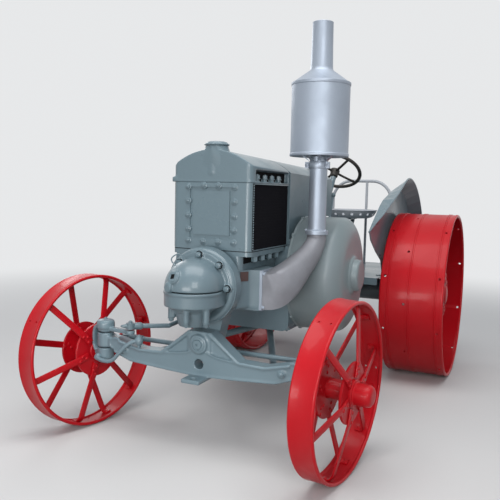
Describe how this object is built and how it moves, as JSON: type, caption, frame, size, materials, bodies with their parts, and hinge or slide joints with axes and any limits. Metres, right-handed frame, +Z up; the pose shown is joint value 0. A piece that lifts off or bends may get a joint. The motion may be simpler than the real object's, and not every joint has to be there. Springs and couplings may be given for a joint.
{
  "type": "vintage single-cylinder tractor on steel wheels",
  "caption": "Vintage farm tractor with spoked steel wheels, upright muffler, side flywheel cover and open driver's platform; the front wheels steer.",
  "frame": {"origin": "on the floor, half way between the front of the front wheels and the back of the rear wheels, on the centre line", "axes": "+Z up, -Y towards the front of the tractor, +X towards the driver's left"},
  "size_m": [1.88, 2.9109, 2.118],
  "materials": {
    "paint_grey": "gloss",
    "paint_red": "gloss",
    "silver_paint": "satin",
    "core_black": "satin",
    "dark_steel": "satin"
  },
  "bodies": {
    "chassis": {"crankcase": "paint_grey", "cylinder": "paint_grey", "head_cover_upper": "paint_grey", "head_cover_lower": "paint_grey", "radiator_case": "paint_grey", "radiator_core_left": "core_black", "radiator_core_right": "core_black", "radiator_top_tank": "paint_grey", "radiator_lower_tank": "paint_grey", "filler_cap": "paint_grey", "fuel_tank": "paint_grey", "flywheel_cover": "paint_grey", "exhaust_duct": "silver_paint", "exhaust_pipe": "silver_paint", "muffler": "silver_paint", "axle_bracket": "paint_grey", "axle_beam": "paint_grey", "radius_rod_left": "paint_grey", "radius_rod_right": "paint_grey", "radius_ball": "paint_grey", "steering_column": "paint_grey", "gearbox": "paint_grey", "axle_housing_left": "paint_grey", "axle_housing_right": "paint_grey", "fender_left": "paint_grey", "fender_right": "paint_grey", "platform": "paint_grey", "guard_rail": "paint_grey", "seat": "paint_grey", "seat_spring": "paint_grey", "control_levers": "paint_grey", "drawbar": "paint_grey"},
    "knuckle_left": {"knuckle_left": "paint_grey"},
    "knuckle_right": {"knuckle_right": "paint_grey"},
    "wheel_front_left": {"front_wheel_left": "paint_red"},
    "wheel_front_right": {"front_wheel_right": "paint_red"},
    "tie_rod": {"tie_rod": "paint_grey"},
    "drag_link": {"drag_link": "paint_grey"},
    "drop_arm": {"drop_arm": "paint_grey"},
    "steering_wheel": {"steering_wheel": "dark_steel"},
    "wheel_rear_left": {"rear_wheel_left": "paint_red"},
    "wheel_rear_right": {"rear_wheel_right": "paint_red"},
    "belt_pulley": {"belt_pulley": "paint_grey"}
  },
  "joints": [
    {"name": "steer_left", "type": "hinge", "parent": "chassis", "child": "knuckle_left", "pos_m": [0.576, -1.0385, 0.45], "axis": [0, 0, 1], "range_deg": [-18, 30]},
    {"name": "steer_right", "type": "hinge", "parent": "chassis", "child": "knuckle_right", "pos_m": [-0.576, -1.0385, 0.45], "axis": [0, 0, 1], "range_deg": [-18, 30]},
    {"name": "spin_front_left", "type": "hinge", "parent": "knuckle_left", "child": "wheel_front_left", "pos_m": [0.70135, -1.05123, 0.40161], "axis": [0.9944, -0.101, -0.0314], "continuous": true},
    {"name": "spin_front_right", "type": "hinge", "parent": "knuckle_right", "child": "wheel_front_right", "pos_m": [-0.69943, -1.01316, 0.40161], "axis": [-0.9791, 0.201, -0.0314], "continuous": true},
    {"name": "tie_rod_pin", "type": "hinge", "parent": "knuckle_left", "child": "tie_rod", "pos_m": [0.59869, -0.89023, 0.458], "axis": [0, 0, 1], "range_deg": [-30, 18]},
    {"name": "drop_arm_swing", "type": "hinge", "parent": "chassis", "child": "drop_arm", "pos_m": [-0.239, 0.2115, 0.782], "axis": [1, 0, 0], "range_deg": [-18, 30]},
    {"name": "drag_link_pin", "type": "hinge", "parent": "drop_arm", "child": "drag_link", "pos_m": [-0.265, 0.19143, 0.61118], "axis": [1, 0, 0], "range_deg": [-30, 18]},
    {"name": "steering_wheel_turn", "type": "hinge", "parent": "chassis", "child": "steering_wheel", "pos_m": [0.12, 0.6315, 1.416], "axis": [0, 0.6018, 0.7986], "range_deg": [-144, 240]},
    {"name": "spin_rear_left", "type": "hinge", "parent": "chassis", "child": "wheel_rear_left", "pos_m": [0.74, 0.8915, 0.565], "axis": [1, 0, 0], "continuous": true},
    {"name": "spin_rear_right", "type": "hinge", "parent": "chassis", "child": "wheel_rear_right", "pos_m": [-0.74, 0.8915, 0.565], "axis": [1, 0, 0], "continuous": true},
    {"name": "belt_pulley_spin", "type": "hinge", "parent": "chassis", "child": "belt_pulley", "pos_m": [-0.375, -0.2485, 0.805], "axis": [1, 0, 0], "continuous": true}
  ],
  "couplings": [
    {"joint": "steer_right", "follows": "steer_left", "ratio": 1},
    {"joint": "tie_rod_pin", "follows": "steer_left", "ratio": -1},
    {"joint": "drop_arm_swing", "follows": "steer_left", "ratio": 1},
    {"joint": "drag_link_pin", "follows": "steer_left", "ratio": -1},
    {"joint": "steering_wheel_turn", "follows": "steer_left", "ratio": 8}
  ]
}
